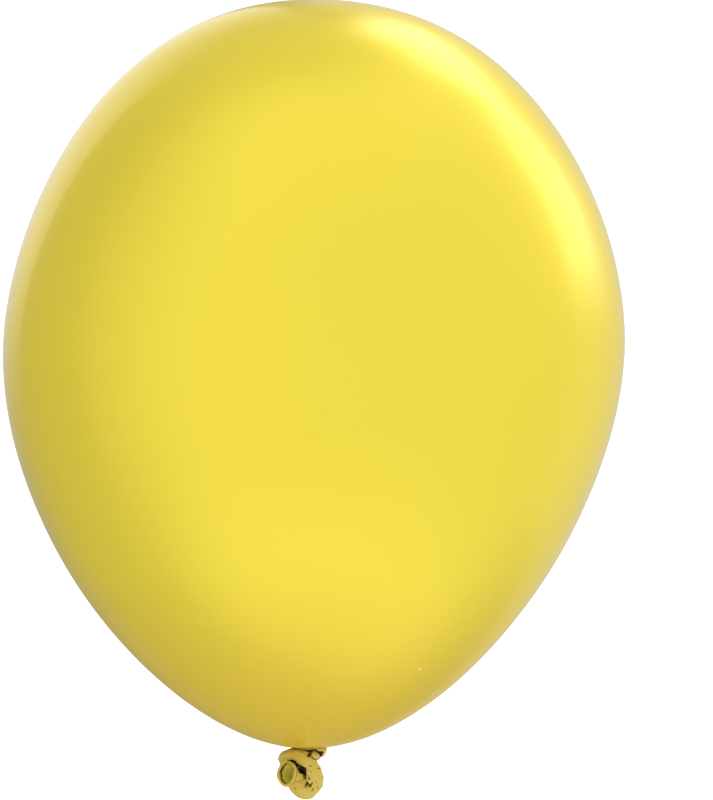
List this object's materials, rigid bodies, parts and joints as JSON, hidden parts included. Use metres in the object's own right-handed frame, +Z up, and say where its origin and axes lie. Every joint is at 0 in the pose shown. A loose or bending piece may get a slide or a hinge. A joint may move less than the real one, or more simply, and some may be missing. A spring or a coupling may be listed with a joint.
{
  "type": "tied latex balloon",
  "caption": "Inflated teardrop latex balloon, tied off with an overhand knot in its neck, with a short flared tail and a rolled mouth.",
  "frame": {"origin": "centre of the neck, in the groove between the bulb and the knot, where a ribbon or a stick holds the balloon", "axes": "+Z up the balloon's long axis towards the crown, -Y towards the front, where the tail and its mouth show, +X to the right seen from the front"},
  "size_m": [0.2794, 0.2794, 0.3606],
  "materials": {
    "bulb_latex": "glossy, slightly translucent stretched latex",
    "neck_latex": "satin, pleated latex",
    "knot_latex": "satin, thick unstretched latex with creases",
    "bead_latex": "satin, rolled latex bead"
  },
  "bodies": {
    "bulb": {"envelope": "bulb_latex"},
    "neck": {"neck_gather": "neck_latex"},
    "knot": {"knot": "knot_latex"},
    "tail": {"tail_tube": "knot_latex", "mouth_bead": "bead_latex"}
  },
  "joints": [
    {"name": "neck_twist", "type": "hinge", "parent": "bulb", "child": "neck", "pos_m": [0, 0, -0.0015], "axis": [0, 0, 1], "range_deg": [-90, 90], "stiffness_Nm_per_rad": 0.002},
    {"name": "knot_sway", "type": "hinge", "parent": "neck", "child": "knot", "pos_m": [0, 0, -0.0015], "axis": [0, 1, 0], "range_deg": [-25, 25], "stiffness_Nm_per_rad": 0.004, "deforming": ["neck_gather"]},
    {"name": "tail_bend", "type": "hinge", "parent": "knot", "child": "tail", "pos_m": [-0.0026, -0.005, -0.0122], "axis": [0, 0, 1], "range_deg": [-15, 40], "stiffness_Nm_per_rad": 0.002}
  ]
}
